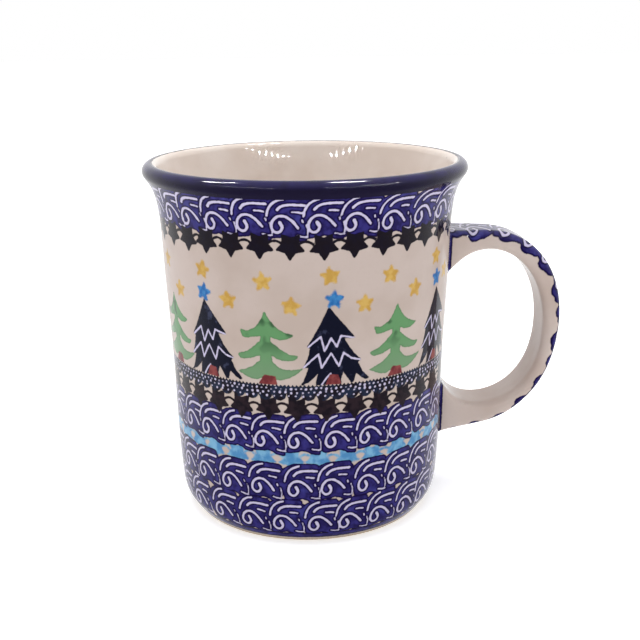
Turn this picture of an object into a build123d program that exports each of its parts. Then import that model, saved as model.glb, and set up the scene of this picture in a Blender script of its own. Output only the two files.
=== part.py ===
from build123d import *
import math
import os

# A stoneware mug: a thrown cup, a strap handle luted on with slip, and the
# fired glass coats that cover the clay.
#
# Millimetres, +Z up.  The origin is the centre of the foot's resting plane, on
# the cup's axis.  The handle reaches along +X.  The cup's profiles are drawn in
# the XZ plane as (radius, height) and turned about Z.

# ---- driving dimensions ------------------------------------------------------

HEIGHT = 101.5  # resting plane to the top of the lip
LIP_RADIUS = 45.85  # widest point of the lip, over the glaze
LIP_ROUND = 2.3  # radius of the rolled lip, over the glaze
GLAZE = 0.4  # thickness of every glaze coat
BAND_LOW = 97.0  # lower edge of the dark band round the lip

# Outside of the wall over the glaze: (radius, height) from the foot to the flare.
OUTER_WALL = [
    (35.8, 0.9),
    (37.7, 4.0),
    (38.75, 9.5),
    (39.35, 20.0),
    (39.9, 45.0),
    (41.2, 74.0),
    (41.75, 86.5),
    (42.6, 92.0),
    (43.9, 95.5),
]

# The lip's roll runs between these angles, from the outer wall over to the inner wall.
OUTER_LIP_ANGLE = -35.0
CREST_ANGLE = 90.0
INNER_LIP_ANGLE = 164.0

# Inside of the wall over the glaze, from the lip down to the floor's corner.
INNER_WALL = [
    (39.3, 92.5),
    (37.6, 83.0),
    (36.3, 60.0),
    (35.4, 22.0),
]
INNER_CORNER = 10.0  # radius between the inner wall and the inner floor
FLOOR_TOP = 7.2  # height of the inner floor, over the glaze
FLOOR_UNDER = 2.4  # height of the underside within the foot ring, over the glaze

FOOT_OUTER = 35.4  # foot ring, bare clay
FOOT_INNER = 30.4
FOOT_EASE = 0.3  # edges of the foot, wiped to a small chamfer
FOOT_BARE_OUTSIDE = 0.9  # height where the outer glaze starts
FOOT_BARE_INSIDE = 0.6  # height where the underside's glaze starts
FOOT_CORNER = 1.6  # radius between the foot ring and the underside, over the glaze

# The strap handle seen from the side: (distance from the axis, height).
STRAP_OUTSIDE = [
    (36.0, 81.6),
    (44.0, 80.6),
    (52.0, 80.4),
    (60.0, 78.8),
    (67.0, 74.2),
    (72.2, 66.5),
    (74.6, 56.0),
    (73.7, 44.5),
    (70.1, 34.6),
    (64.0, 27.1),
    (56.0, 22.2),
    (48.0, 20.5),
    (42.0, 19.7),
    (36.0, 18.0),
]
STRAP_INSIDE = [
    (36.0, 63.5),
    (41.4, 69.3),
    (46.2, 73.0),
    (52.8, 74.7),
    (59.4, 72.9),
    (65.2, 67.4),
    (68.9, 58.5),
    (69.5, 48.5),
    (67.1, 38.6),
    (61.8, 31.6),
    (55.0, 28.2),
    (48.6, 28.0),
    (43.8, 29.9),
    (40.6, 33.2),
    (36.0, 40.0),
]
STRAP_WIDTH = 13.5  # across the strap, over the glaze
STRAP_FLARE = 16.0  # its width where it meets the cup
FLARE_LENGTH = 11.0  # how far out from the cup the strap widens
STRAP_EDGE = 2.2  # rounding of its long edges, over the glaze
SLIP = 0.6  # thickness of the slip between handle and cup


# ---- the cup -----------------------------------------------------------------

def at(radius, height):
    """A point of the profile in the XZ plane."""
    return Vector(radius, 0, height)


def turned(edges):
    """The closed profile turned all the way round the cup's axis."""
    return revolve(make_face(edges), axis=Axis.Z, revolution_arc=360).solid()


def lip_centre():
    return LIP_RADIUS - LIP_ROUND, HEIGHT - LIP_ROUND


def lip_point(depth, angle):
    """A point of the lip's roll, depth under the glazed surface, angle up from +X."""
    across, up = lip_centre()
    reach = LIP_ROUND - depth
    turn = math.radians(angle)
    return at(across + reach * math.cos(turn), up + reach * math.sin(turn))


def outer_wall(depth):
    """The outside of the wall, depth under the glazed surface, up to the lip's roll."""
    points = [at(radius - depth, height) for radius, height in OUTER_WALL]
    points.append(lip_point(depth, OUTER_LIP_ANGLE))
    return Spline(*points)


def lip_roll(depth, start, end):
    """An arc of the lip's roll between two angles."""
    middle = (start + end) / 2
    return ThreePointArc(lip_point(depth, start), lip_point(depth, middle), lip_point(depth, end))


def inner_wall(depth):
    """The inside of the wall, from the lip's roll down to the floor's corner."""
    points = [lip_point(depth, INNER_LIP_ANGLE)]
    points += [at(radius + depth, height) for radius, height in INNER_WALL]
    return Spline(*points)


def inner_floor(depth):
    """The floor's corner and the floor, in to the axis."""
    radius, height = INNER_WALL[-1]
    wall_end = at(radius + depth, height)
    across = radius - INNER_CORNER
    up = FLOOR_TOP + INNER_CORNER
    reach = INNER_CORNER + depth
    corner_start = at(across + reach, up)
    diagonal = reach * math.sqrt(0.5)
    corner_middle = at(across + diagonal, up - diagonal)
    corner_end = at(across, up - reach)
    return [
        Line(wall_end, corner_start),
        ThreePointArc(corner_start, corner_middle, corner_end),
        Line(corner_end, at(0, FLOOR_TOP - depth)),
    ]


def underside(depth):
    """The underside from the axis out and down to where its glaze ends."""
    across = FOOT_INNER - GLAZE - FOOT_CORNER
    up = FLOOR_UNDER - FOOT_CORNER
    reach = FOOT_CORNER + depth
    diagonal = reach * math.sqrt(0.5)
    corner_start = at(across, up + reach)
    corner_end = at(across + reach, up)
    edges = [
        Line(at(0, FLOOR_UNDER + depth), corner_start),
        ThreePointArc(corner_start, at(across + diagonal, up + diagonal), corner_end),
    ]
    if up > FOOT_BARE_INSIDE:
        edges.append(Line(corner_end, at(across + reach, FOOT_BARE_INSIDE)))
    return edges


def foot_ring():
    """The bare foot, from inside to outside."""
    corners = [
        at(FOOT_INNER, FOOT_BARE_INSIDE),
        at(FOOT_INNER, FOOT_EASE),
        at(FOOT_INNER + FOOT_EASE, 0),
        at(FOOT_OUTER - FOOT_EASE, 0),
        at(FOOT_OUTER, FOOT_EASE),
        at(FOOT_OUTER, FOOT_BARE_OUTSIDE),
    ]
    return [Line(a, b) for a, b in zip(corners, corners[1:])]


def clay_cup():
    floor = inner_floor(GLAZE)
    under = underside(GLAZE)
    roll = lip_roll(GLAZE, OUTER_LIP_ANGLE, INNER_LIP_ANGLE)
    edges = [outer_wall(GLAZE), roll, inner_wall(GLAZE)]
    edges += floor
    edges.append(Line(floor[-1] @ 1, under[0] @ 0))
    edges += under
    edges += foot_ring()
    return turned(edges)


def filled_cup(depth):
    """The cup's outside with its hollow filled, as a tool to trim the handle with."""
    wall = outer_wall(depth)
    top = wall @ 1
    bottom = wall @ 0
    edges = [
        wall,
        Line(top, at(0, top.Z)),
        Line(at(0, top.Z), at(0, bottom.Z)),
        Line(at(0, bottom.Z), bottom),
    ]
    return turned(edges)


def coat(outside, inside):
    """A glaze coat between two runs of edges that go the same way."""
    ends = [Line(outside[0] @ 0, inside[0] @ 0), Line(outside[-1] @ 1, inside[-1] @ 1)]
    return turned(outside + inside + ends)


def outside_coat():
    """The whole outer coat, from the foot up to the lip's crest."""
    outside = [outer_wall(0), lip_roll(0, OUTER_LIP_ANGLE, CREST_ANGLE)]
    inside = [outer_wall(GLAZE), lip_roll(GLAZE, OUTER_LIP_ANGLE, CREST_ANGLE)]
    return coat(outside, inside)


def inner_coat():
    """The cream coat, from the lip's crest down the wall and over the floor."""
    outside = [lip_roll(0, CREST_ANGLE, INNER_LIP_ANGLE), inner_wall(0)]
    inside = [lip_roll(GLAZE, CREST_ANGLE, INNER_LIP_ANGLE), inner_wall(GLAZE)]
    outside += inner_floor(0)
    inside += inner_floor(GLAZE)
    return coat(outside, inside)


def under_coat():
    return coat(underside(0), underside(GLAZE))


# ---- the handle ----------------------------------------------------------------

def grown(points, amount):
    """Moves each point sideways by amount, to the left of the way the points run."""
    moved = []
    last = len(points) - 1
    for index, (x, z) in enumerate(points):
        before = points[max(index - 1, 0)]
        after = points[min(index + 1, last)]
        dx, dz = after[0] - before[0], after[1] - before[1]
        length = math.hypot(dx, dz)
        moved.append((x - amount * dz / length, z + amount * dx / length))
    return moved


def strap_side(depth):
    """The strap's outline from the side, depth under the glazed surface."""
    outside = Spline(*[at(x, z) for x, z in grown(STRAP_OUTSIDE, -depth)])
    inside = Spline(*[at(x, z) for x, z in grown(STRAP_INSIDE, depth)])
    lower_end = Line(outside @ 1, inside @ 1)
    upper_end = Line(inside @ 0, outside @ 0)
    return make_face([outside, inside, lower_end, upper_end])


def strap_plan(depth):
    """The strap's outline from above: it widens towards the cup."""
    start = STRAP_OUTSIDE[0][0]
    root = OUTER_WALL[4][0]
    middle = root + FLARE_LENGTH / 2
    far = LIP_RADIUS * 2
    narrow = STRAP_WIDTH / 2 - depth
    wide = STRAP_FLARE / 2 - depth
    upper = [
        Line((start, wide), (root, wide)),
        Bezier((root, wide), (middle, wide), (middle, narrow), (root + FLARE_LENGTH, narrow)),
        Line((root + FLARE_LENGTH, narrow), (far, narrow)),
    ]
    lower = [edge.mirror(Plane.XZ) for edge in upper]
    ends = [Line((start, wide), (start, -wide)), Line((far, narrow), (far, -narrow))]
    return make_face(upper + lower + ends)


def strap(depth):
    """The whole strap, running on into the cup, with its long edges rounded."""
    side = extrude(strap_side(depth), amount=STRAP_FLARE, both=True)
    plan = extrude(strap_plan(depth), amount=HEIGHT)
    blank = (side & plan).solid()
    long_edges = [edge for edge in blank.edges() if edge.length > FLARE_LENGTH / 2]
    long_edges = [edge for edge in long_edges if abs(edge.tangent_at(0.5).Y) < 0.95]
    inner_end = STRAP_OUTSIDE[0][0] + 1
    long_edges = [edge for edge in long_edges if edge.bounding_box().max.X > inner_end]
    return fillet(long_edges, STRAP_EDGE - depth).solid()


# ---- every piece ---------------------------------------------------------------

def build():
    band_plane = Plane.XY.offset(BAND_LOW)
    clay_strap = strap(GLAZE)
    glazed_strap = strap(0)
    slip_zone = filled_cup(GLAZE - SLIP) - filled_cup(GLAZE)
    slip_pads = (clay_strap & slip_zone).solids().sort_by(Axis.Z)
    skin = outside_coat()
    rim = split(skin, bisect_by=band_plane, keep=Keep.TOP)
    outer = split(skin, bisect_by=band_plane, keep=Keep.BOTTOM) - clay_strap
    handle_coat = glazed_strap - clay_strap - filled_cup(0)
    return {
        "cup_body": clay_cup(),
        "handle": clay_strap - filled_cup(GLAZE - SLIP),
        "upper_slip_joint": slip_pads[-1],
        "lower_slip_joint": slip_pads[0],
        "inner_glaze": inner_coat(),
        "rim_glaze": rim,
        "outer_glaze": outer,
        "underside_glaze": under_coat(),
        "handle_glaze": handle_coat,
    }


os.makedirs("parts", exist_ok=True)
for name, shape in build().items():
    export_step(shape, f"parts/{name}.step")
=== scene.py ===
import math

import bpy
import numpy as np
from mathutils import Matrix, Vector
from mathutils.kdtree import KDTree


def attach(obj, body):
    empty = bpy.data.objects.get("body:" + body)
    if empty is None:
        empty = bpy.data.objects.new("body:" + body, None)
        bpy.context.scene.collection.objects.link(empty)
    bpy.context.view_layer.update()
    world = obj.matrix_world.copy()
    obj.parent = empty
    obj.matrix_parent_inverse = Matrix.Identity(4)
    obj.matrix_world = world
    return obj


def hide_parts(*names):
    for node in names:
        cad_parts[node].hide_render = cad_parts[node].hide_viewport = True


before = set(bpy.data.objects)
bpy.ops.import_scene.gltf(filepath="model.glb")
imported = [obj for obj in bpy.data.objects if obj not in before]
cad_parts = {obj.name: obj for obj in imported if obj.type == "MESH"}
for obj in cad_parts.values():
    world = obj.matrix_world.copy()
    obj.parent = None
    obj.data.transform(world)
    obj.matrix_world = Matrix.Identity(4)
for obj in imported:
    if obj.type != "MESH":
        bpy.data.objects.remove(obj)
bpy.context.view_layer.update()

# A stamped and glazed stoneware mug.  Lengths are millimetres, as in part.py,
# until MM turns them into Blender's metres.  The floor and the lamps are placed
# in metres.
#
# The wall's coat is rebuilt as four rings of fine mesh, one above the other, the
# lip's coat as a fifth ring, and the handle's coat as a strap.  Each vertex of a
# stamped coat stores how far it is from the edge of every stamped colour, negative
# inside it, and the glaze's material turns those distances into crisp or watery
# edges.

MM = 0.001

# ---- sizes repeated from part.py ---------------------------------------------

HEIGHT = 101.5  # resting plane to the top of the lip
LIP_RADIUS = 45.85  # widest point of the lip, over the glaze
LIP_ROUND = 2.3  # radius of the rolled lip, over the glaze
GLAZE = 0.4  # thickness of every coat
COAT_FOOT = 0.9  # lower edge of the wall's coat
BAND_LOW = 97.0  # lower edge of the dark band round the lip
OUTER_LIP_ANGLE = -35.0  # where the wall runs into the lip's roll, in degrees
CREST_ANGLE = 90.0  # the top of the lip's roll

# Outside of the wall over the glaze: (radius, height).
OUTER_WALL = [
    (35.8, 0.9),
    (37.7, 4.0),
    (38.75, 9.5),
    (39.35, 20.0),
    (39.9, 45.0),
    (41.2, 74.0),
    (41.75, 86.5),
    (42.6, 92.0),
    (43.9, 95.5),
]
FLARE_FROM = OUTER_WALL[4][0]  # the strap starts to narrow this far from the axis

# The strap handle seen from the side, over the glaze: (distance from the axis, height).
STRAP_OUTSIDE = [
    (36.0, 81.6),
    (44.0, 80.6),
    (52.0, 80.4),
    (60.0, 78.8),
    (67.0, 74.2),
    (72.2, 66.5),
    (74.6, 56.0),
    (73.7, 44.5),
    (70.1, 34.6),
    (64.0, 27.1),
    (56.0, 22.2),
    (48.0, 20.5),
    (42.0, 19.7),
    (36.0, 18.0),
]
STRAP_INSIDE = [
    (36.0, 63.5),
    (41.4, 69.3),
    (46.2, 73.0),
    (52.8, 74.7),
    (59.4, 72.9),
    (65.2, 67.4),
    (68.9, 58.5),
    (69.5, 48.5),
    (67.1, 38.6),
    (61.8, 31.6),
    (55.0, 28.2),
    (48.6, 28.0),
    (43.8, 29.9),
    (40.6, 33.2),
    (36.0, 40.0),
]
STRAP_WIDTH = 13.5
STRAP_FLARE = 16.0  # its width where it meets the wall
FLARE_LENGTH = 11.0  # it narrows over this length
STRAP_EDGE = 2.2  # radius of its long edges

# ---- mesh fineness and the artwork's own frame ---------------------------------

GRAIN = 0.33  # spacing of the fine mesh
COARSE = 8  # the hidden inner side of a ring keeps one row of points in so many
SHARP_EDGE = math.radians(50)  # shading is smooth over anything flatter
SHEET_RADIUS = 40.5  # the wall is unrolled at this radius to lay out the artwork
LAP = 2 * math.pi * SHEET_RADIUS
FRONT = -93.0  # the unrolled sheet's zero, degrees from the handle
FAR = 9.0  # stored where a colour is nowhere near
STRAP_ROWS = 420  # sections along the handle
STRAP_COLUMNS = 120  # points round each section
ROOT_X = 38.8  # the handle's rebuilt coat starts here, inside the wall
JOINT_FILLET = 0.3  # radius where the handle's coat runs into the wall
JOINT_LINE = 0.8  # reach of the line brushed round the joint, on wall and handle
SEAM_REACH = 0.2  # points this near the wall make up the joint's seam

# Heights where one ring of the wall's coat ends and the next begins.
GARLAND_LOW = 25.5
TREES_LOW = 47.5
UPPER_WAVES_LOW = 80.0

rng = np.random.default_rng(7)  # the small slips of the hand that stamps


# ---- curves --------------------------------------------------------------------

def spline_through(points, spacing):
    """A natural cubic spline through the points, sampled about every spacing."""
    points = np.array(points, float)
    step = np.hypot(*np.diff(points, axis=0).T)
    at = np.concatenate([[0], np.cumsum(step)])
    size = len(points)
    system = np.eye(size)
    target = np.zeros((size, 2))
    for i in range(1, size - 1):
        system[i, i - 1:i + 2] = step[i - 1], 2 * (step[i - 1] + step[i]), step[i]
        slope_after = (points[i + 1] - points[i]) / step[i]
        slope_before = (points[i] - points[i - 1]) / step[i - 1]
        target[i] = 6 * (slope_after - slope_before)
    bend = np.linalg.solve(system, target)
    where = np.linspace(0, at[-1], max(2, int(at[-1] / spacing) + 1))
    i = np.clip(np.searchsorted(at, where, side="right") - 1, 0, size - 2)
    left = (at[i + 1] - where)[:, None]
    right = (where - at[i])[:, None]
    gap = step[i][:, None]
    curve = bend[i] * left ** 3 + bend[i + 1] * right ** 3
    curve = curve / (6 * gap)
    curve += (points[i] / gap - bend[i] * gap / 6) * left
    curve += (points[i + 1] / gap - bend[i + 1] * gap / 6) * right
    return curve


def rounded(points, closed=False, steps=4):
    """A Catmull-Rom curve through a few points, for one stroke or outline of a stamp."""
    points = np.array(points, float)
    if closed:
        padded = np.vstack([points[-1:], points, points[:2]])
    else:
        padded = np.vstack([2 * points[0] - points[1], points, 2 * points[-1] - points[-2]])
    t = np.arange(steps)[:, None] / steps
    runs = []
    for a, b, c, d in zip(padded, padded[1:], padded[2:], padded[3:]):
        runs.append(0.5 * (2 * b + (c - a) * t + (2 * a - 5 * b + 4 * c - d) * t ** 2
                           + (3 * b - a - 3 * c + d) * t ** 3))
    if not closed:
        runs.append(points[-1:])
    return np.vstack(runs)


# ---- distances -----------------------------------------------------------------

def from_line(spots, line):
    """How far each spot is from an open line."""
    nearest = np.full(len(spots), FAR)
    line = np.asarray(line, float)
    for start, end in zip(line, line[1:]):
        along = end - start
        share = np.clip((spots - start) @ along / (along @ along), 0, 1)
        gap = np.hypot(*(spots - start - share[:, None] * along).T)
        nearest = np.minimum(nearest, gap)
    return nearest


def from_stroke(spots, stroke):
    """How far each spot is from the edge of a stroke: its points and its width."""
    points, width = stroke
    return from_line(spots, points) - width / 2


def from_strokes(spots, strokes):
    return np.min([from_stroke(spots, stroke) for stroke in strokes], axis=0)


def from_shape(spots, outline):
    """How far each spot is from a closed outline, negative inside it."""
    outline = np.asarray(outline, float)
    x, y = spots.T
    inside = np.zeros(len(spots), bool)
    for (x0, y0), (x1, y1) in zip(outline, np.roll(outline, -1, axis=0)):
        if y0 == y1:
            continue
        straddles = (y0 > y) != (y1 > y)
        inside ^= straddles & (x < x0 + (y - y0) * (x1 - x0) / (y1 - y0))
    gap = from_line(spots, np.vstack([outline, outline[:1]]))
    return np.where(inside, -gap, gap)


def from_star(spots, radius, waist, tip_angle, softness):
    """A five-pointed star with softened points, one of them at tip_angle degrees."""
    turn = np.radians(tip_angle + 36.0 * np.arange(10))
    reach = np.where(np.arange(10) % 2 == 0, radius, radius * waist) - softness
    outline = np.stack([reach * np.cos(turn), reach * np.sin(turn)], axis=1)
    return from_shape(spots, outline) - softness


# ---- the stamps ------------------------------------------------------------------
# Each stamp is drawn about the point that is placed on the wall: u to the right, v up.

WAVE_BLOT = [
    (-2.4, -2.3), (-2.9, -0.6), (-3.5, 1.0), (-3.8, 2.8), (-3.7, 4.6), (-2.8, 6.2),
    (-1.5, 7.2), (0.2, 7.8), (1.5, 7.9), (6.4, 7.8), (6.9, 6.9), (7.4, 6.3),
    (7.7, 4.0), (8.0, 2.0), (7.9, 0.6), (7.5, -0.7), (7.1, -1.8), (6.9, -3.2),
    (6.6, -3.5), (4.6, -3.2), (3.9, -2.7), (2.2, -2.2), (1.2, -2.55), (0.0, -2.6),
    (-1.5, -2.8),
]
WAVE_SPREAD = 0.3  # how far the wet ink runs past the stamp's own edge
# The lines left pale in a wave: their points, and their width.
WAVE_LINES = [
    # the curl, and the crest that breaks over it
    ([(0.75, 1.05), (1.2, 0.0), (0.65, -1.15), (-0.45, -1.4), (-1.4, -0.4), (-1.2, 1.3),
      (0.1, 2.7), (1.9, 2.8), (3.6, 1.65), (5.0, -0.1)], 0.65),
    # the blob at the curl's inner end
    ([(0.65, 1.15), (1.05, 0.35)], 0.85),
    # the back of the wave
    ([(-2.5, 2.8), (-2.1, 4.4), (-1.2, 5.9), (0.1, 6.9), (1.6, 7.4)], 0.55),
    # the long crest to the next wave
    ([(0.1, 4.5), (1.0, 5.4), (2.4, 5.9), (4.2, 6.0), (6.5, 5.9)], 0.66),
    # short strokes under the crest, at the foot and before the next wave
    ([(3.5, 4.1), (4.6, 4.05), (5.7, 3.85)], 0.5),
    ([(4.9, -2.0), (6.2, -2.3), (7.3, -2.3)], 0.42),
    ([(5.9, 2.0), (6.1, 1.5)], 0.42),
    # the gap to the next wave
    ([(6.9, 0.9), (7.3, -0.4), (7.3, -1.8)], 0.35),
]

# On the handle the wave's foot is rounder, its small strokes are lost in the ink,
# and it is drawn out over the strap's outer face.
HANDLE_LINES = WAVE_LINES[:5]
HANDLE_LINES_SHIFT = (-1.2, 0.9)
HANDLE_STRETCH = (1.0, 1.5)
HANDLE_BLOT = [
    (-5.0, -0.2), (-4.2, -0.9), (-2.8, -1.1), (-1.7, -1.9), (0.2, -2.2), (1.9, -1.7),
    (3.0, -1.6), (4.4, -0.7), (5.0, -0.1), (5.2, 3.0), (4.9, 7.6), (0.0, 7.9),
    (-4.9, 7.6), (-5.0, 3.0),
]

# The short arc from one garland star to the next.
STAR_LINK = [(2.1, 0.6), (2.9, 1.1), (3.85, 1.35), (4.8, 1.1), (5.6, 0.6)]
LINK_WIDTH = 0.72

# A tree is placed by its tip.
DARK_TREE = [
    (0, 0), (1.1, -1.5), (3.1, -4.0), (5.1, -6.4), (6.5, -8.1), (7.0, -9.1), (4.1, -8.9),
    (5.6, -11.5), (7.1, -13.5), (8.8, -15.0), (8.0, -15.9), (9.3, -18.5), (11.3, -20.7),
    (9.6, -21.3), (-5.6, -21.6), (-7.6, -21.5), (-7.0, -20.7), (-6.2, -19.0), (-5.4, -16.6),
    (-6.8, -16.7), (-6.0, -15.0), (-5.4, -13.5), (-4.9, -11.2), (-5.3, -11.1),
    (-5.8, -10.8), (-4.2, -8.4), (-2.9, -6.0), (-1.4, -3.0),
]
DARK_TREE_NOTCHES = [
    [(-6.9, -21.3), (-5.4, -20.7), (-3.9, -19.4), (-2.9, -18.2), (-3.4, -20.5), (-3.7, -22.4)],
    [(3.3, -20.0), (3.9, -18.2), (6.1, -21.6), (3.5, -22.2)],
    [(6.6, -22.2), (7.4, -18.9), (9.1, -20.4), (11.0, -21.4)],
]
DARK_TREE_LINES = [
    ([(-5.4, -10.9), (-2.1, -8.1), (-1.1, -12.1), (0.6, -8.6), (2.1, -11.1), (3.2, -8.1),
      (6.9, -9.0)], 0.5),
    ([(-6.7, -16.6), (-2.7, -12.8), (-1.9, -16.7), (0.6, -12.7), (2.7, -16.5), (3.9, -12.8),
      (6.2, -14.6), (8.7, -15.2)], 0.5),
    ([(0.5, -18.4), (-0.5, -19.4), (-1.4, -20.6), (-2.2, -21.9)], 0.45),
]
DARK_TREE_TRUNK = [(0.2, -18.6), (2.5, -18.8), (3.5, -21.9), (-1.1, -22.1)]

GREEN_TIERS = [
    [(0, 0), (0.5, -1.1), (1.0, -2.0), (2.0, -3.4), (3.2, -4.6), (5.0, -5.7), (7.3, -6.4),
     (6.7, -7.0), (5.5, -7.6), (4.0, -7.8), (2.5, -7.6), (1.2, -7.1), (-1.4, -7.1),
     (-3.0, -7.3), (-5.0, -7.7), (-6.4, -7.6), (-6.8, -6.6), (-7.1, -5.4), (-5.5, -5.8),
     (-4.2, -5.4), (-2.6, -4.4), (-1.4, -2.9), (-0.6, -1.3)],
    [(0, -7.6), (2.0, -8.8), (3.4, -10.0), (5.2, -11.2), (6.8, -11.9), (8.4, -12.0),
     (8.1, -12.8), (7.3, -13.4), (6.0, -13.5), (4.0, -13.4), (2.5, -12.9), (1.4, -12.1),
     (-1.8, -12.5), (-2.8, -12.7), (-4.2, -13.3), (-6.0, -13.6), (-7.4, -13.6),
     (-8.2, -12.4), (-6.2, -11.8), (-4.8, -11.0), (-3.2, -9.8), (-2.0, -8.6)],
    [(0, -12.8), (2.4, -14.6), (3.4, -15.5), (5.4, -16.0), (7.6, -15.9), (9.6, -15.6),
     (9.0, -16.3), (7.0, -17.8), (4.6, -18.8), (2.5, -18.9), (-1.5, -18.6), (-2.5, -19.1),
     (-3.8, -19.1), (-5.5, -18.7), (-7.0, -18.0), (-8.3, -17.3), (-6.0, -16.4),
     (-4.0, -15.5), (-2.5, -14.2)],
]
GREEN_STEM = [
    (-1.4, -6.0), (1.2, -6.0), (1.5, -12.5), (2.0, -18.2), (-1.8, -18.2), (-1.8, -12.5),
]
GREEN_TREE_TRUNK = [(-0.9, -17.6), (2.2, -17.9), (2.8, -20.5), (-2.6, -20.5)]


def curved(lines):
    return [(rounded(points), width) for points, width in lines]


def wave(spots):
    return {
        "cobalt": from_shape(spots, rounded(WAVE_BLOT, closed=True, steps=2)) - WAVE_SPREAD,
        "line": from_strokes(spots, curved(WAVE_LINES)),
    }


def handle_wave(spots):
    spots = spots / HANDLE_STRETCH
    return {
        "cobalt": from_shape(spots, rounded(HANDLE_BLOT, closed=True, steps=3)),
        "line": from_strokes(spots - HANDLE_LINES_SHIFT, curved(HANDLE_LINES)),
    }


def garland_star(colour):
    """A star with one point down, and the link to the next star."""
    def stamp(spots):
        star = from_star(spots, radius=3.75, waist=0.6, tip_angle=-90, softness=0.3)
        link = from_stroke(spots, (rounded(STAR_LINK), LINK_WIDTH))
        return {colour: np.minimum(star, link)}
    return stamp


def single_star(colour):
    """A small star with one point up."""
    def stamp(spots):
        return {colour: from_star(spots, radius=2.6, waist=0.56, tip_angle=90, softness=0.4)}
    return stamp


def dark_tree(spots):
    tree = from_shape(spots, DARK_TREE)
    for notch in DARK_TREE_NOTCHES:
        tree = np.maximum(tree, -from_shape(spots, notch))
    return {
        "dark_tree": tree,
        "line": from_strokes(spots, DARK_TREE_LINES),
        "trunk": from_shape(spots, DARK_TREE_TRUNK),
    }


def green_tree(spots):
    tiers = [from_shape(spots, rounded(tier, closed=True, steps=2)) for tier in GREEN_TIERS]
    tiers.append(from_shape(spots, GREEN_STEM))
    return {"green": np.min(tiers, axis=0), "trunk": from_shape(spots, GREEN_TREE_TRUNK)}


# ---- the unrolled wall -------------------------------------------------------------

class Sheet:
    """A coat laid flat: s runs round the mug and z up it, or along the handle and across."""

    def __init__(self, s, z, colours):
        self.s = s
        self.z = z
        self.layers = {colour: np.full(len(s), FAR) for colour in colours}

    def lay(self, colour, signed, where=slice(None)):
        layer = self.layers[colour]
        layer[where] = np.minimum(layer[where], signed)

    def stamp(self, artwork, s, z, tilt=0.0, reach=24.0):
        """Presses the artwork on at (s, z), tilted by so many degrees.

        No part of it lies further than reach from there.
        """
        across = (self.s - s + LAP / 2) % LAP - LAP / 2
        up = self.z - z
        near = np.flatnonzero((np.abs(across) < reach) & (np.abs(up) < reach))
        if not len(near):
            return
        turn = math.radians(tilt)
        u = across[near] * math.cos(turn) + up[near] * math.sin(turn)
        v = up[near] * math.cos(turn) - across[near] * math.sin(turn)
        for colour, signed in artwork(np.stack([u, v], axis=1)).items():
            if colour in self.layers:
                self.lay(colour, np.minimum(signed, FAR), near)


def round_the_mug(seen, pitch):
    """The stamps' places: those seen from the front, and the rest spaced evenly behind."""
    rest = LAP - (seen[-1] - seen[0])
    count = round(rest / pitch)
    return list(seen) + [seen[-1] + rest * i / count for i in range(1, count)]


def press_row(sheet, artwork, seen, pitch, z, wobble=0.25, tilt=1.5, reach=12.0):
    """A row of the same stamp, each pressed a little off by hand."""
    for s in round_the_mug(seen, pitch):
        # thrown even if the row misses this sheet, so that later throws don't depend on it
        off, turn = rng.normal(0, 1, 2)
        if z - reach < sheet.z.max() and z + reach > sheet.z.min():
            sheet.stamp(artwork, s, z + wobble * off, tilt * turn, reach=reach)


def scatter(sheet, artwork, seen, pitch, wobble=0.4, tilt=6.0):
    """Stars at the places seen from the front, and evenly behind at about the same height."""
    level = np.mean([z for s, z in seen])
    for number, s in enumerate(round_the_mug([s for s, z in seen], pitch)):
        off, turn = rng.normal(0, 1, 2)
        z = seen[number][1] if number < len(seen) else level + wobble * off
        sheet.stamp(artwork, s, z, tilt * turn, reach=5.0)


# ---- what is stamped on each ring ----------------------------------------------------

def paint_joint(sheet):
    """The thin line brushed on the wall all round the handle's two ends."""
    handle = -math.radians(FRONT) * SHEET_RADIUS
    across = (sheet.s - handle + LAP / 2) % LAP - LAP / 2
    near = np.flatnonzero(np.abs(across) < STRAP_FLARE)
    turn = across[near] / SHEET_RADIUS
    radius = wall_radius(sheet.z[near])
    spots = np.stack([radius * np.cos(turn), radius * np.sin(turn), sheet.z[near]], axis=1)
    gap = np.array([HANDLE_SEAM.find(spot)[2] for spot in spots])
    sheet.lay("cobalt", gap - JOINT_LINE, near)


def stamp_dark_garland(sheet):
    """The dark stars under the top row of waves, which two rings share."""
    seen = (-41.5, -34.0, -27.0, -19.4, -11.6, -3.95, 4.3, 12.0, 20.0, 27.5, 34.5, 42.0)
    press_row(sheet, garland_star("black"), seen, pitch=7.7, z=84.9, wobble=0.12)


def stamp_sky_garland(sheet):
    """The pale blue stars between two rows of waves, which two rings share."""
    seen = (-36.0, -29.0, -21.0, -13.0, -5.0, 2.5, 10.5, 18.0, 26.5, 34.0)
    press_row(sheet, garland_star("sky"), seen, pitch=7.8, z=26.4, wobble=0.2)


def paint_upper_waves(sheet):
    stamp_dark_garland(sheet)
    waves = (-42.0, -33.7, -24.8, -15.6, -6.9, 2.0, 10.9, 20.8, 30.9, 40.1)
    press_row(sheet, wave, waves, pitch=9.1, z=89.8, wobble=0.15)
    paint_joint(sheet)


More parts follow.
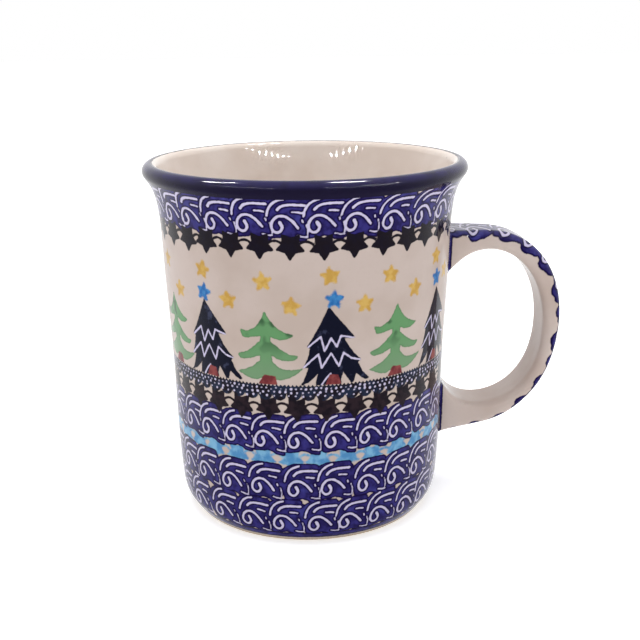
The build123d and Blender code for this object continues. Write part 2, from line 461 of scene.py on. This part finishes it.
def paint_trees(sheet):
    stamp_dark_garland(sheet)
    tree_pitch = 36.4
    for s in round_the_mug((-45.0, -11.0, 24.9), tree_pitch):
        sheet.stamp(green_tree, s, z=67.8)
    for s in round_the_mug((-29.3, 5.4, 42.0), tree_pitch):
        sheet.stamp(dark_tree, s, z=69.0)
    over_trees = ((-29.3, 76.9), (-11.3, 75.4), (5.8, 76.9), (22.4, 75.8), (40.8, 77.6))
    scatter(sheet, single_star("yellow"), over_trees, pitch=18.4)
    between = (
        (-40.1, 69.6), (-21.3, 69.7), (-4.2, 69.1), (15.0, 69.0), (31.1, 70.7), (47.8, 72.4),
    )
    scatter(sheet, single_star("yellow"), between, pitch=18.2)
    on_tips = ((-29.3, 70.8), (6.8, 70.7), (41.7, 71.5))
    scatter(sheet, single_star("blue"), on_tips, tree_pitch, wobble=0.2)
    paint_dotted_garland(sheet)
    paint_joint(sheet)


def paint_dotted_garland(sheet):
    """A dark strip with a toothed top, rows of pale dots and a scalloped bottom."""
    top = 47.4
    tooth = LAP / 240
    tooth_depth = 0.3
    bottom = 45.2
    scallop = LAP / 65
    scallop_middle = 45.1
    scallop_radius = 2.0
    teeth = tooth_depth * np.cos(2 * math.pi * sheet.s / tooth)
    strip = np.maximum(sheet.z - top - teeth, bottom - sheet.z)
    across = (sheet.s + scallop / 2) % scallop - scallop / 2
    hanging = np.hypot(across, sheet.z - scallop_middle) - scallop_radius
    sheet.lay("teal", np.minimum(strip, hanging))
    # dice of its own, because two rings share the strip
    dice = np.random.default_rng(11)
    for z, dots, shift in ((46.5, 190, 0.0), (45.5, 165, 0.5), (44.4, 130, 0.25)):
        gap = LAP / dots
        place = sheet.s / gap + shift
        number = np.floor(place).astype(int) % dots
        lift = dice.normal(0, 0.15, dots)[number]
        radius = dice.uniform(0.22, 0.4, dots)[number]
        beside = place % 1 - 0.5
        sheet.lay("line", np.hypot(beside * gap, sheet.z - z - lift) - radius)


def paint_middle(sheet):
    brown = (-34.5, -26.7, -18.9, -11.0, -3.2, 4.8, 12.6, 20.4, 28.2)
    press_row(sheet, garland_star("brown"), brown, pitch=7.8, z=40.9, wobble=0.12)
    stamp_sky_garland(sheet)
    waves = (-41.0, -32.5, -23.0, -13.7, -4.2, 5.9, 15.7, 25.2, 35.8)
    press_row(sheet, wave, waves, pitch=9.7, z=31.2, wobble=0.15)
    paint_dotted_garland(sheet)
    paint_joint(sheet)


def paint_lower_waves(sheet):
    stamp_sky_garland(sheet)
    upper = (-35.5, -25.3, -15.3, -4.6, 4.7, 15.3, 25.0, 34.5)
    press_row(sheet, wave, upper, pitch=9.9, z=17.0, wobble=0.15)
    lower = (-40.5, -29.5, -19.2, -9.3, 1.0, 9.9, 19.5, 29.5, 38.5)
    press_row(sheet, wave, lower, pitch=9.8, z=6.3, wobble=0.15)
    foot_line = 2.3
    foot_line_half = 1.0
    sheet.lay("cobalt", np.abs(sheet.z - foot_line) - foot_line_half)
    paint_joint(sheet)


# ---- materials ---------------------------------------------------------------------

def tint(red, green, blue):
    """A colour as a screen shows it, 0 to 255, for a shader."""
    def linear(value):
        value /= 255
        return value / 12.92 if value <= 0.04045 else ((value + 0.055) / 1.055) ** 2.4
    return linear(red), linear(green), linear(blue), 1.0


# The cream glaze and its warmer clouds, inside the mug, on the handle and on the wall: one glaze,
# painted lighter inside the mug as painted light, and darker on the handle and the wall as
# painted shade.
INSIDE_CREAM_PAINTED_LIGHT = tint(229, 218, 210)
INSIDE_WARM_PAINTED_LIGHT = tint(220, 206, 196)
HANDLE_CREAM_PAINTED_SHADE = tint(194, 180, 173)
HANDLE_WARM_PAINTED_SHADE = tint(184, 167, 158)
WALL_CREAM_PAINTED_SHADE = tint(190, 175, 168)
WALL_WARM_PAINTED_SHADE = tint(181, 165, 156)
LILAC = tint(190, 183, 209)
INK = tint(52, 47, 114)
INK_DEEP = tint(34, 28, 78)
INK_BRIGHT = tint(60, 60, 132)
INK_EDGE = tint(20, 10, 56)
BLACK = tint(27, 22, 29)
BLUE_BLACK = tint(26, 22, 33)
BROWN = tint(42, 32, 38)
TEAL = tint(34, 42, 62)
SKY = tint(116, 166, 198)
SKY_DEEP = tint(76, 130, 176)
PINE = tint(18, 20, 36)
PINE_STREAK = tint(58, 62, 86)
GREEN = tint(96, 142, 97)
GREEN_DARK = tint(62, 94, 66)
GREEN_LIGHT = tint(116, 142, 113)
BARK = tint(132, 66, 66)
BARK_DEEP = tint(104, 46, 50)
OCHRE = tint(198, 163, 90)
OCHRE_DEEP = tint(184, 145, 72)
STAR_BLUE = tint(62, 126, 182)
STAR_BLUE_DEEP = tint(42, 98, 160)
NAVY = tint(26, 22, 44)
CLAY = tint(196, 180, 160)
GROG = tint(150, 124, 98)
FLOOR_WHITE = (0.93, 0.93, 0.93, 1)
FLOOR_GREY = (0.9, 0.9, 0.9, 1)
WHITE = (1, 1, 1, 1)


class Recipe:
    """A node material, built up a step at a time."""

    def __init__(self, name):
        self.material = bpy.data.materials.new(name)
        self.material.use_nodes = True
        self.tree = self.material.node_tree
        self.tree.nodes.clear()
        self.place = self.node("ShaderNodeTexCoord").outputs["Object"]

    def node(self, kind, **settings):
        made = self.tree.nodes.new(kind)
        for name, value in settings.items():
            setattr(made, name, value)
        return made

    def feed(self, socket, value):
        if isinstance(value, bpy.types.NodeSocket):
            self.tree.links.new(value, socket)
        else:
            socket.default_value = value

    def math(self, operation, first, second=0.0):
        made = self.node("ShaderNodeMath", operation=operation)
        self.feed(made.inputs[0], first)
        self.feed(made.inputs[1], second)
        return made.outputs[0]

    def attribute(self, name):
        return self.node("ShaderNodeAttribute", attribute_name=name).outputs["Fac"]

    def height(self):
        parts = self.node("ShaderNodeSeparateXYZ")
        self.feed(parts.inputs[0], self.place)
        return parts.outputs["Z"]

    def climb(self, start, end, high=1.0):
        """Goes smoothly from 0 to high between two heights, in millimetres."""
        return self.share(self.height(), start * MM, end * MM, high=high)

    def noise(self, size, detail=2.0):
        """Noise with features about size millimetres across."""
        made = self.node("ShaderNodeTexNoise")
        self.feed(made.inputs["Vector"], self.place)
        made.inputs["Scale"].default_value = 1 / (size * MM)
        made.inputs["Detail"].default_value = detail
        return made.outputs["Fac"]

    def share(self, value, start, end, low=0.0, high=1.0):
        """Goes smoothly from low to high as value goes from start to end."""
        made = self.node("ShaderNodeMapRange", interpolation_type="SMOOTHSTEP")
        for socket, given in zip(made.inputs, (value, start, end, low, high)):
            self.feed(socket, given)
        return made.outputs[0]

    def mix(self, share, low, high):
        made = self.node("ShaderNodeMix", data_type="RGBA")
        self.feed(made.inputs[0], share)
        self.feed(made.inputs[6], low)
        self.feed(made.inputs[7], high)
        return made.outputs[2]

    def gloss(self, size, smooth, rough):
        """Roughness that drifts between two values, in patches of about size."""
        return self.share(self.noise(size, 2.0), 0.3, 0.7, smooth, rough)

    def finish(self, colour, roughness, bump_size, bump_depth, glow=0.0):
        """The finished material, with bumps of so many millimetres across and deep."""
        shader = self.node("ShaderNodeBsdfPrincipled")
        self.feed(shader.inputs["Base Color"], colour)
        self.feed(shader.inputs["Roughness"], roughness)
        shader.inputs["IOR"].default_value = 1.45
        shader.inputs["Specular IOR Level"].default_value = 0.3
        if glow:
            shader.inputs["Emission Color"].default_value = WHITE
            shader.inputs["Emission Strength"].default_value = glow
        bump = self.node("ShaderNodeBump")
        bump.inputs["Strength"].default_value = 1.0
        bump.inputs["Distance"].default_value = bump_depth * MM
        self.feed(bump.inputs["Height"], self.noise(bump_size, 3.0))
        self.feed(shader.inputs["Normal"], bump.outputs[0])
        output = self.node("ShaderNodeOutputMaterial")
        self.feed(output.inputs["Surface"], shader.outputs[0])
        return self.material


def bare_glaze(recipe, pale, warm):
    """The cream glaze where nothing is stamped, in soft clouds and faint speckles."""
    cloud = recipe.share(recipe.noise(16, 3.0), 0.35, 0.7)
    cream = recipe.mix(cloud, pale, warm)
    fine = recipe.share(recipe.noise(0.8, 2.0), 0.5, 0.8, high=0.25)
    return recipe.mix(fine, cream, warm)


def painted(recipe, colour, softness, wobble):
    """Where a colour has been stamped, with an edge that follows the sponge's grain."""
    edge = recipe.math("SUBTRACT", wobble, 0.5)
    edge = recipe.math("MULTIPLY", edge, softness * 3)
    signed = recipe.math("ADD", recipe.attribute(colour), edge)
    return recipe.share(signed, softness, -softness)


def cobalt(recipe):
    """Brushy blue-violet that pools nearly black along every edge and reserved line."""
    mottle = recipe.share(recipe.noise(2.2, 4.0), 0.36, 0.66)
    ink = recipe.mix(mottle, INK_DEEP, INK)
    blotch = recipe.share(recipe.noise(4.5, 2.0), 0.58, 0.72, high=0.7)
    ink = recipe.mix(blotch, ink, INK_BRIGHT)
    to_edge = recipe.math("ABSOLUTE", recipe.attribute("cobalt"))
    to_line = recipe.attribute("line")
    pooled = recipe.share(recipe.math("MINIMUM", to_edge, to_line), 0.62, 0.22)
    return recipe.mix(pooled, ink, INK_EDGE)


def plain_colour(pale, deep, size):
    def colour(recipe):
        return recipe.mix(recipe.share(recipe.noise(size, 3.0), 0.38, 0.64), deep, pale)
    return colour


def dark_tree_colour(recipe):
    """Near-black navy with a few thin places."""
    thin = recipe.share(recipe.noise(2.6, 3.0), 0.58, 0.72, high=0.8)
    return recipe.mix(thin, PINE, PINE_STREAK)


def green_tree_colour(recipe):
    """Green that is darker at the tree's top and paler at its foot."""
    dark = recipe.share(recipe.noise(4.0, 1.0), 0.52, 0.66)
    dark = recipe.math("MULTIPLY", dark, recipe.climb(53, 62))
    green = recipe.mix(dark, GREEN, GREEN_DARK)
    green = recipe.mix(recipe.climb(60, 49, high=0.7), green, GREEN_LIGHT)
    rim = recipe.share(recipe.math("ABSOLUTE", recipe.attribute("green")), 0.5, 0.1, high=0.35)
    return recipe.mix(rim, green, GREEN_DARK)


# Each stamped colour, in the order of stamping: how it is mixed, how soft its edge is,
# and whether the stamp leaves pale lines in it.
PIGMENTS = {
    "sky": (plain_colour(SKY, SKY_DEEP, 2.5), 0.3, False),
    "cobalt": (cobalt, 0.12, True),
    "dark_tree": (dark_tree_colour, 0.12, True),
    "brown": (plain_colour(BROWN, BLACK, 2.0), 0.12, False),
    "black": (plain_colour(BLACK, BLUE_BLACK, 2.0), 0.12, False),
    "green": (green_tree_colour, 0.16, False),
    "trunk": (plain_colour(BARK, BARK_DEEP, 2.0), 0.16, False),
    "teal": (plain_colour(TEAL, BLACK, 2.0), 0.12, True),
    "yellow": (plain_colour(OCHRE, OCHRE_DEEP, 2.0), 0.35, False),
    "blue": (plain_colour(STAR_BLUE, STAR_BLUE_DEEP, 1.5), 0.3, False),
}


def stamped_glaze(name, colours, pale, warm):
    """Cream glaze with stamped colours under its gloss, in the order of stamping."""
    recipe = Recipe(name)
    wobble = recipe.noise(0.9, 2.0)
    colour = bare_glaze(recipe, pale, warm)
    for pigment, (mixed, softness, lined) in PIGMENTS.items():
        if pigment not in colours:
            continue
        cover = painted(recipe, pigment, softness, wobble)
        colour = recipe.mix(cover, colour, mixed(recipe))
        if lined:
            lines = recipe.math("MULTIPLY", painted(recipe, "line", 0.1, wobble), cover)
            colour = recipe.mix(lines, colour, LILAC)
    return recipe.finish(colour, recipe.gloss(6, 0.04, 0.07), bump_size=5.0, bump_depth=0.03)


def rim_glaze():
    """Navy, bluer in patches towards the top of the lip."""
    recipe = Recipe("rim_glaze")
    patches = recipe.share(recipe.noise(5.0, 3.0), 0.3, 0.6, 0.4, 1.0)
    blue = recipe.math("MULTIPLY", recipe.climb(HEIGHT - LIP_ROUND, HEIGHT - 0.3), patches)
    colour = recipe.mix(blue, NAVY, INK_DEEP)
    return recipe.finish(colour, recipe.gloss(5, 0.05, 0.09), bump_size=4.0, bump_depth=0.03)


def cream_glaze():
    """The inside's glaze, with the band's navy just lapping over the lip's crest."""
    recipe = Recipe("cream_glaze")
    wander = recipe.math("SUBTRACT", recipe.noise(2.0), 0.5)
    wander = recipe.math("MULTIPLY", wander, 0.12 * MM)
    edge = recipe.math("ADD", recipe.height(), wander)
    lap = recipe.share(edge, (HEIGHT - 0.12) * MM, (HEIGHT - 0.06) * MM)
    # the inside's cream is painted lighter than the wall's, as painted light
    colour = recipe.mix(lap, bare_glaze(recipe, INSIDE_CREAM_PAINTED_LIGHT, INSIDE_WARM_PAINTED_LIGHT), NAVY)
    return recipe.finish(colour, recipe.gloss(6, 0.03, 0.045), bump_size=6.0, bump_depth=0.02)


def bare_clay():
    recipe = Recipe("bare_clay")
    grog = recipe.share(recipe.noise(0.6, 2.0), 0.5, 0.75, high=0.6)
    colour = recipe.mix(grog, CLAY, GROG)
    return recipe.finish(colour, recipe.gloss(1.0, 0.6, 0.8), bump_size=0.5, bump_depth=0.05)


# ---- meshes ------------------------------------------------------------------------

def lip_point(angle, depth=0.0):
    """A point of the lip's roll as (radius, height), so deep under its surface."""
    reach = LIP_ROUND - depth
    turn = math.radians(angle)
    radius = LIP_RADIUS - LIP_ROUND + reach * math.cos(turn)
    return radius, HEIGHT - LIP_ROUND + reach * math.sin(turn)


# The wall over the glaze as (radius, height), from the foot to the lip's roll.
WALL = spline_through([*OUTER_WALL, lip_point(OUTER_LIP_ANGLE)], spacing=0.05)


def wall_radius(z):
    return np.interp(z, WALL[:, 1], WALL[:, 0])


def make_object(name, spots, faces, material, layers):
    """A smooth mesh from points in millimetres, with each colour's distance stored."""
    mesh = bpy.data.meshes.new(name)
    mesh.from_pydata((spots * MM).tolist(), [], faces)
    mesh.shade_smooth()
    mesh.set_sharp_from_angle(angle=SHARP_EDGE)
    for colour, signed in layers.items():
        stored = mesh.attributes.new(colour, "FLOAT", "POINT")
        stored.data.foreach_set("value", signed.astype(np.float32))
    mesh.materials.append(material)
    made = bpy.data.objects.new(name, mesh)
    bpy.context.scene.collection.objects.link(made)
    return made


def wrapped_faces(rows, columns):
    """Quads over rows that close on themselves, both along and across."""
    row = np.arange(rows)[:, None]
    column = np.arange(columns)[None, :]
    next_row = (row + 1) % rows
    next_column = (column + 1) % columns
    corners = [row * columns + column, row * columns + next_column,
               next_row * columns + next_column, next_row * columns + column]
    return np.stack(corners, axis=-1).reshape(-1, 4).tolist()


def ring_coat(name, outside, inside, material, colours=(), paint=None):
    """A ring of coat between two runs of (radius, height) points, bottom to top."""
    loop = np.vstack([outside, inside[::-1]])
    columns = int(LAP / GRAIN)
    turn = 2 * math.pi * np.arange(columns) / columns
    spots = np.empty((len(loop), columns, 3))
    spots[:, :, 0] = loop[:, :1] * np.cos(turn)
    spots[:, :, 1] = loop[:, :1] * np.sin(turn)
    spots[:, :, 2] = loop[:, 1:]
    s = np.tile((turn - math.radians(FRONT)) * SHEET_RADIUS, len(outside))
    sheet = Sheet(s, np.repeat(outside[:, 1], columns), colours)
    if paint:
        paint(sheet)
    hidden = np.full(len(inside) * columns, FAR)
    layers = {colour: np.concatenate([signed, hidden]) for colour, signed in sheet.layers.items()}
    faces = wrapped_faces(len(loop), columns)
    return make_object(name, spots.reshape(-1, 3), faces, material, layers)


def wall_ring(name, low, high, paint, colours):
    rows = int((high - low) / GRAIN) + 1
    z = np.linspace(low, high, rows)
    outside = np.stack([wall_radius(z), z], axis=1)
    inside = np.vstack([outside[:-COARSE // 2:COARSE], outside[-1:]]) - (GLAZE, 0)
    # the wall's cream is painted darker than the inside's, as painted shade
    glaze = stamped_glaze(name, colours, WALL_CREAM_PAINTED_SHADE, WALL_WARM_PAINTED_SHADE)
    made = ring_coat(name, outside, inside, glaze, colours, paint)
    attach(made, "root")
    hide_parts("outer_glaze")


def rim_ring():
    """The dark band's coat, from the wall below the lip to the lip's crest."""
    # three rows on the wall, then the lip's roll
    z = np.linspace(BAND_LOW, lip_point(OUTER_LIP_ANGLE)[1], 4)[:-1]
    wall = np.stack([wall_radius(z), z], axis=1)
    angles = np.linspace(OUTER_LIP_ANGLE, CREST_ANGLE, 24)
    hidden_angles = [*angles[::3], CREST_ANGLE]
    outside = np.vstack([wall, [lip_point(angle) for angle in angles]])
    inside = np.vstack([wall - (GLAZE, 0), [lip_point(angle, GLAZE) for angle in hidden_angles]])
    made = ring_coat("rim_coat", outside, inside, rim_glaze())
    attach(made, "root")
    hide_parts("rim_glaze")


# ---- the handle's coat ----------------------------------------------------------------

def handle_rail(points):
    """One side of the strap, from just inside the wall to just inside it again."""
    rail = spline_through(points, spacing=0.1)
    keep = np.flatnonzero(rail[:, 0] > ROOT_X)
    return rail[keep[0]:keep[-1] + 1]


def evenly(rail, count):
    """So many evenly spaced points along the rail, and how far along it each one is."""
    along = np.concatenate([[0], np.cumsum(np.hypot(*np.diff(rail, axis=0).T))])
    where = np.linspace(0, along[-1], count)
    return np.stack([np.interp(where, along, rail[:, i]) for i in range(2)], axis=1), where


def strap_section(half_wide, half_thick, corner_steps=9):
    """A rounded oblong as its four corners' points, (across, out), round from the inner face."""
    spots = []
    for side_x, side_y, start in ((1, -1, -90), (1, 1, 0), (-1, 1, 90), (-1, -1, 180)):
        centre = np.array([side_x * (half_wide - STRAP_EDGE), side_y * (half_thick - STRAP_EDGE)])
        for angle in np.radians(start + np.linspace(0, 90, corner_steps)):
            spots.append(centre + STRAP_EDGE * np.array([math.cos(angle), math.sin(angle)]))
    return np.array(spots)


def strap_mesh():
    """The strap's rows of points over the glaze, and where each lies when laid flat."""
    outer, along = evenly(handle_rail(STRAP_OUTSIDE), STRAP_ROWS)
    inner, _ = evenly(handle_rail(STRAP_INSIDE), STRAP_ROWS)
    middle = (outer + inner) / 2
    thick = outer - inner
    half_thick = np.hypot(*thick.T) / 2
    out = thick / (2 * half_thick[:, None])
    narrowed = np.clip((middle[:, 0] - FLARE_FROM) / FLARE_LENGTH, 0, 1)
    widened = 1 - narrowed * narrowed * (3 - 2 * narrowed)
    half_wide = STRAP_WIDTH / 2 + (STRAP_FLARE - STRAP_WIDTH) / 2 * widened
    rows = []
    reach = []
    for i in range(STRAP_ROWS):
        ring = section_ring(half_wide[i], half_thick[i])
        rows.append(np.stack([middle[i, 0] + ring[:, 1] * out[i, 0], ring[:, 0],
                              middle[i, 1] + ring[:, 1] * out[i, 1]], axis=1))
        reach.append(ring_reach(ring))
    spots = np.array(rows)
    return blended_into_wall(spots, ring_normals(spots)), along, np.array(reach)


def above_wall(spots):
    """How far each point stands out from the wall."""
    return np.hypot(spots[..., 0], spots[..., 1]) - wall_radius(spots[..., 2])


def handle_seam(spots):
    """The points where the strap's surface goes into the wall, ready for look-ups."""
    seam = spots[np.abs(above_wall(spots)) < SEAM_REACH]
    tree = KDTree(len(seam))
    for number, spot in enumerate(seam):
        tree.insert(spot, number)
    tree.balance()
    return tree


def section_ring(half_wide, half_thick):
    """Evenly spaced points round the strap's section, as (across, out)."""
    corners = strap_section(half_wide, half_thick)
    # start the ring in the middle of the inner face
    start = np.array([[0.0, -half_thick]])
    closed = np.vstack([start, corners, start])
    length = np.concatenate([[0], np.cumsum(np.hypot(*np.diff(closed, axis=0).T))])
    where = np.linspace(0, length[-1], STRAP_COLUMNS + 1)[:-1]
    return np.stack([np.interp(where, length, closed[:, i]) for i in range(2)], axis=1)


def ring_reach(ring):
    """How far round the strap each point is from the middle of its outer face, signed."""
    step = np.hypot(*np.diff(np.vstack([ring, ring[:1]]), axis=0).T)
    along = np.concatenate([[0], np.cumsum(step)[:-1]])
    return step.sum() / 2 - along


def ring_normals(spots):
    """The strap's outward direction at each point."""
    ahead = np.roll(spots, -1, axis=1) - np.roll(spots, 1, axis=1)
    on = np.gradient(spots, axis=0)
    normal = np.cross(ahead, on)
    normal /= np.linalg.norm(normal, axis=2, keepdims=True)
    centre = spots.mean(axis=1, keepdims=True)
    facing = np.sign(np.sum(normal * (spots - centre), axis=2, keepdims=True))
    return normal * facing


def blended_into_wall(spots, normals):
    """Swells the strap's ends outwards in a fillet against the wall."""
    near = np.clip(1 - above_wall(spots) / JOINT_FILLET, 0, 1)
    swell = JOINT_FILLET * (1 - np.sqrt(1 - near ** 2))
    return spots + normals * swell[..., None]


def paint_handle(sheet, length):
    """One row of waves along the strap's outer face, their feet over its near edge."""
    pitch = 8.0
    # where the row runs: the share of the length, and the distance from the face's middle
    track = [(0, -5.3), (0.1, -6.3), (0.22, -6.3), (0.45, -4.7), (0.75, -4.4), (1, -3.8)]
    count = round(length / pitch)
    for i in range(count):
        along, off, turn = rng.normal(0, 1, 3)
        s = (i + 0.5 + 0.07 * along) * length / count
        middle = np.interp(s / length, *zip(*track))
        sheet.stamp(handle_wave, s, middle + 0.35 * off, tilt=6 * turn, reach=16)


def handle_coat():
    spots, along, reach = STRAP
    sides = wrapped_faces(STRAP_ROWS, STRAP_COLUMNS)[:(STRAP_ROWS - 1) * STRAP_COLUMNS]
    near_end = list(range(STRAP_COLUMNS))[::-1]
    far_end = [(STRAP_ROWS - 1) * STRAP_COLUMNS + i for i in range(STRAP_COLUMNS)]
    colours = ["cobalt", "line"]
    sheet = Sheet(np.repeat(along, STRAP_COLUMNS), reach.reshape(-1), colours)
    paint_handle(sheet, along[-1])
    flat = spots.reshape(-1, 3)
    sheet.lay("cobalt", above_wall(flat) - JOINT_LINE)
    # the handle's cream is painted darker than the inside's, as painted shade
    glaze = stamped_glaze("handle_coat", colours, HANDLE_CREAM_PAINTED_SHADE, HANDLE_WARM_PAINTED_SHADE)
    made = make_object("handle_coat", flat, [*sides, near_end, far_end], glaze, sheet.layers)
    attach(made, "root")
    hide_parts("handle_glaze")


# ---- carried-over nodes ------------------------------------------------------------------

def dress(node, material):
    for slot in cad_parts[node].material_slots:
        slot.material = material


# ---- camera --------------------------------------------------------------------------------

EYE = (-14.91, -284.48, 137.81)
TARGET = (3.689, -0.193, 53.408)
ROLL = math.radians(-0.669)
LENS = 56.25


def camera():
    """The photograph's view: a little above the rim, with a slight roll."""
    eye = Vector(EYE) * MM
    target = Vector(TARGET) * MM
    forward = (target - eye).normalized()
    level = forward.cross(Vector((0, 0, 1))).normalized()
    upright = level.cross(forward)
    right = math.cos(ROLL) * level + math.sin(ROLL) * upright
    up = math.cos(ROLL) * upright - math.sin(ROLL) * level
    data = bpy.data.cameras.new("camera")
    data.sensor_width = 36
    data.lens = LENS
    data.clip_start = 0.01
    made = bpy.data.objects.new("camera", data)
    made.matrix_world = Matrix((right, up, -forward)).transposed().to_4x4()
    made.matrix_world.translation = eye
    bpy.context.scene.collection.objects.link(made)
    bpy.context.scene.camera = made


# ---- floor, room and lamps, placed in metres -------------------------------------------------

FLOOR_HALF = 4.0
FLOOR_GLOW = 0.45  # brings the lit floor up to the room's white
BRIGHT_SIDE = (0, 0.8, 0.6)  # the room's light comes from behind the mug and above it
LAMP_AIM = (0, 0, 0.08)

# Small lamps in two arcs before the mug, left and right: they glint in its far inner wall.
ARC_STARTS = ((-1, 15), (1, 14))  # the side, and the first lamp's degrees from the middle
ARC_MIDDLE = -92  # degrees from the handle
ARC_LAMPS = 10
ARC_RADIUS = 0.75
ARC_HEIGHT = 0.46
ARC_LAMP_SIZE = 0.008

# Two rows of lamps over the mug, along X, which glint on its lip.
TOP_ROWS = ((-0.42, -0.075), (0.14, 0.035))  # each row's first place and its step
TOP_LAMPS = 6
TOP_ROW_BACK = 0.12
TOP_ROW_HEIGHT = 0.95
TOP_LAMP_SIZE = 0.03
TOP_LAMP_POWER = 1.5


def floor():
    corners = [(-1, -1), (1, -1), (1, 1), (-1, 1)]
    spots = [(FLOOR_HALF * x, FLOOR_HALF * y, 0) for x, y in corners]
    mesh = bpy.data.meshes.new("floor")
    mesh.from_pydata(spots, [], [(0, 1, 2, 3)])
    recipe = Recipe("floor")
    colour = recipe.mix(recipe.noise(300, 2.0), FLOOR_WHITE, FLOOR_GREY)
    paper = recipe.finish(colour, 0.9, bump_size=20, bump_depth=0.0, glow=FLOOR_GLOW)
    mesh.materials.append(paper)
    made = bpy.data.objects.new("floor", mesh)
    bpy.context.scene.collection.objects.link(made)
    made.visible_glossy = False


def room():
    """A room that looks white, but sheds less light from the camera's side."""
    world = bpy.data.worlds.new("studio")
    bpy.context.scene.world = world
    world.use_nodes = True
    tree = world.node_tree
    background = tree.nodes["Background"]
    where = tree.nodes.new("ShaderNodeTexCoord")
    toward = tree.nodes.new("ShaderNodeVectorMath")
    toward.operation = "DOT_PRODUCT"
    toward.inputs[1].default_value = BRIGHT_SIDE
    tree.links.new(where.outputs["Generated"], toward.inputs[0])
    fade = tree.nodes.new("ShaderNodeMapRange")
    fade.interpolation_type = "SMOOTHSTEP"
    tree.links.new(toward.outputs["Value"], fade.inputs[0])
    for socket, value in zip(fade.inputs[1:5], (-0.8, 0.5, 0.06, 1.0)):
        socket.default_value = value
    seen = tree.nodes.new("ShaderNodeLightPath")
    strength = tree.nodes.new("ShaderNodeMath")
    strength.operation = "MAXIMUM"
    tree.links.new(seen.outputs["Is Camera Ray"], strength.inputs[0])
    tree.links.new(fade.outputs[0], strength.inputs[1])
    tree.links.new(strength.outputs[0], background.inputs["Strength"])
    background.inputs["Color"].default_value = WHITE


def area_light(name, place, size, power, glint):
    """A lamp aimed at the mug: a glint lamp shows only in the gloss, a softbox never does."""
    data = bpy.data.lights.new(name, "AREA")
    data.size = size
    data.energy = power
    made = bpy.data.objects.new(name, data)
    made.location = place
    aim = Vector(LAMP_AIM) - Vector(place)
    made.rotation_euler = aim.to_track_quat("-Z", "Y").to_euler()
    made.visible_diffuse = not glint
    made.visible_glossy = glint
    bpy.context.scene.collection.objects.link(made)


def lamps():
    area_light("overhead", (0, 0.05, 0.9), size=0.7, power=4.2, glint=False)
    area_light("front", (-0.03, -0.75, 0.5), size=0.6, power=1.1, glint=False)
    for side, start in ARC_STARTS:
        for i in range(ARC_LAMPS):
            # the lamps draw apart and brighten towards the arc's far end
            turn = math.radians(ARC_MIDDLE + side * (start + 4.9 * i + 0.1 * i * i))
            place = (ARC_RADIUS * math.cos(turn), ARC_RADIUS * math.sin(turn), ARC_HEIGHT)
            area_light("front_lamp", place, ARC_LAMP_SIZE, power=0.07 + 0.03 * i, glint=True)
    for start, step in TOP_ROWS:
        for i in range(TOP_LAMPS):
            place = (start + step * i, TOP_ROW_BACK, TOP_ROW_HEIGHT)
            area_light("top_lamp", place, TOP_LAMP_SIZE, TOP_LAMP_POWER, glint=True)


# ---- everything ------------------------------------------------------------------------------

bpy.context.scene.view_settings.view_transform = "Standard"
camera()
floor()
room()
lamps()

STRAP = strap_mesh()
HANDLE_SEAM = handle_seam(STRAP[0])

wall_ring("lower_waves_coat", COAT_FOOT, GARLAND_LOW, paint_lower_waves,
          ["sky", "cobalt", "line"])
wall_ring("garland_coat", GARLAND_LOW, TREES_LOW, paint_middle,
          ["sky", "brown", "teal", "cobalt", "line"])
wall_ring("trees_coat", TREES_LOW, UPPER_WAVES_LOW, paint_trees,
          ["teal", "black", "trunk", "dark_tree", "green", "yellow", "blue", "cobalt", "line"])
wall_ring("upper_waves_coat", UPPER_WAVES_LOW, BAND_LOW, paint_upper_waves,
          ["black", "cobalt", "line"])
rim_ring()
handle_coat()

cream = cream_glaze()
for name in ("inner_glaze", "underside_glaze"):
    dress(name, cream)
clay = bare_clay()
for name in ("cup_body", "handle", "upper_slip_joint", "lower_slip_joint"):
    dress(name, clay)
